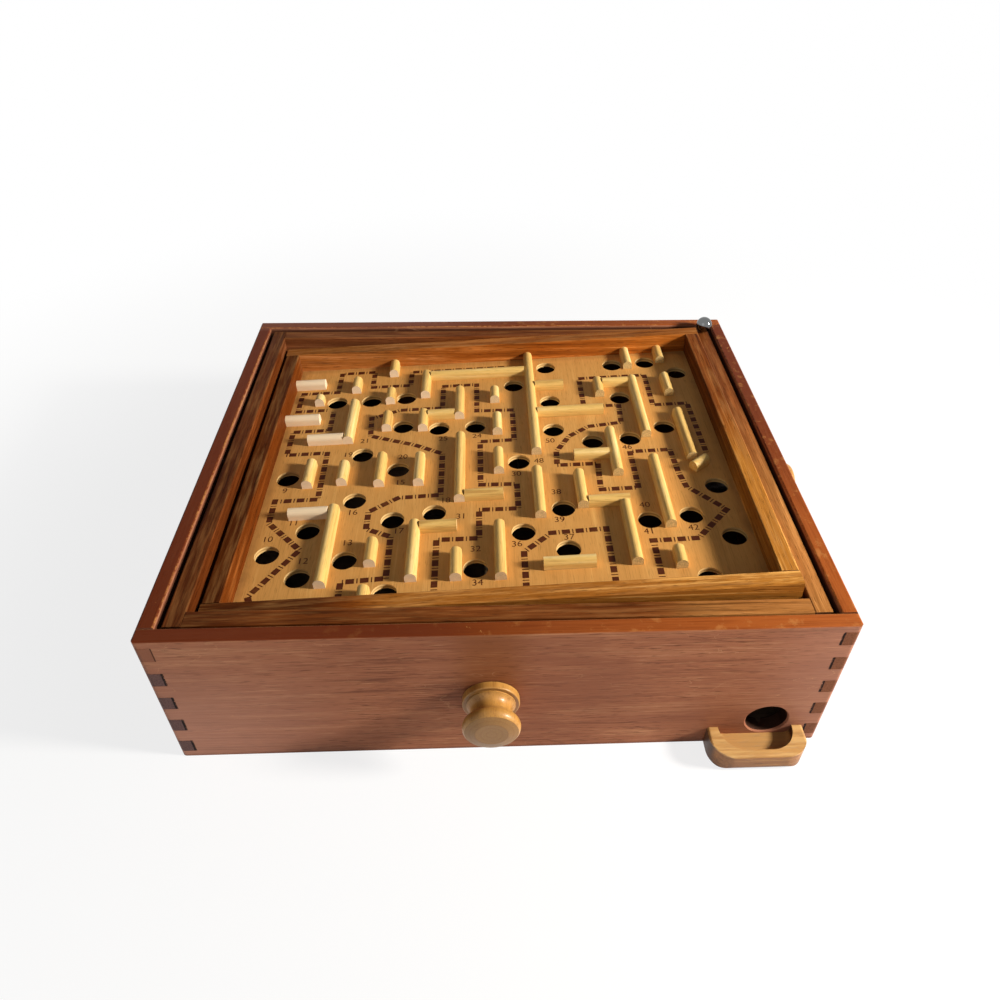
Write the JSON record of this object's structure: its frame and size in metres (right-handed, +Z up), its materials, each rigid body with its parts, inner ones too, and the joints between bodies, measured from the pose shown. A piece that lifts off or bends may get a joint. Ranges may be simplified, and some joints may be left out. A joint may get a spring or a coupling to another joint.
{
  "type": "dexterity puzzle",
  "caption": "Wooden tilting labyrinth: a box with two nested tipping frames, a maze board with drop holes, two turned knobs, a steel ball and a catch tray.",
  "frame": {"origin": "middle of the underside of the box", "axes": "+X to the right, +Y to the back, +Z up, seen from the player at the front"},
  "size_m": [0.3501, 0.3061, 0.1012],
  "materials": {
    "wall_wood": "satin lacquer",
    "outer_rail_wood": "oiled",
    "inner_rail_wood": "oiled",
    "board_ply": "satin lacquer",
    "bar_wood": "sanded",
    "knob_wood": "waxed",
    "tray_wood": "waxed",
    "floor_wood": "plain",
    "steel": "bright",
    "ball_steel": "polished",
    "cord": "braided"
  },
  "bodies": {
    "box": {"front_wall": "wall_wood", "back_wall": "wall_wood", "left_wall": "wall_wood", "right_wall": "wall_wood", "base_board": "floor_wood", "floor_panel": "floor_wood", "exit_guide": "floor_wood", "catch_tray": "tray_wood", "outer_tilt_cord": "cord"},
    "outer_frame": {"outer_left_rail": "outer_rail_wood", "outer_right_rail": "outer_rail_wood", "outer_front_rail": "outer_rail_wood", "outer_back_rail": "outer_rail_wood", "outer_pivot_pins": "steel", "outer_screw_eyes": "steel", "outer_cord_spring": "steel", "inner_tilt_cord": "cord"},
    "inner_frame": {"inner_left_rail": "inner_rail_wood", "inner_right_rail": "inner_rail_wood", "inner_front_rail": "inner_rail_wood", "inner_back_rail": "inner_rail_wood", "inner_pivot_pins": "steel", "inner_screw_eyes": "steel", "inner_cord_spring": "steel", "playing_board": "board_ply", "maze_bars_along": "bar_wood", "maze_bars_across": "bar_wood"},
    "front_drive": {"front_shaft": "steel", "front_knob": "knob_wood"},
    "side_drive": {"side_shaft": "steel", "side_knob": "knob_wood"},
    "ball": {"steel_ball": "ball_steel"}
  },
  "joints": [
    {"name": "outer_tilt", "type": "hinge", "parent": "box", "child": "outer_frame", "pos_m": [0, 0, 0.08], "axis": [1, 0, 0], "range_deg": [-5, 5], "deforming": ["outer_tilt_cord", "outer_cord_spring"]},
    {"name": "inner_tilt", "type": "hinge", "parent": "outer_frame", "child": "inner_frame", "pos_m": [0, 0, 0.08], "axis": [0, -1, 0], "range_deg": [-8, 2], "deforming": ["inner_tilt_cord", "inner_cord_spring"]},
    {"name": "front_knob_turn", "type": "hinge", "parent": "box", "child": "front_drive", "pos_m": [-0.006, 0, 0.0435], "axis": [0, -1, 0], "range_deg": [-95, 24]},
    {"name": "side_knob_turn", "type": "hinge", "parent": "box", "child": "side_drive", "pos_m": [0, 0.004, 0.0505], "axis": [1, 0, 0], "range_deg": [-50, 50]},
    {"name": "ball_lift", "type": "slide", "parent": "outer_frame", "child": "ball", "axis": [0, 0, 1], "range_m": [0, 0.04]}
  ],
  "couplings": [
    {"joint": "front_knob_turn", "follows": "inner_tilt", "ratio": 11.8},
    {"joint": "side_knob_turn", "follows": "outer_tilt", "ratio": 9.8}
  ]
}
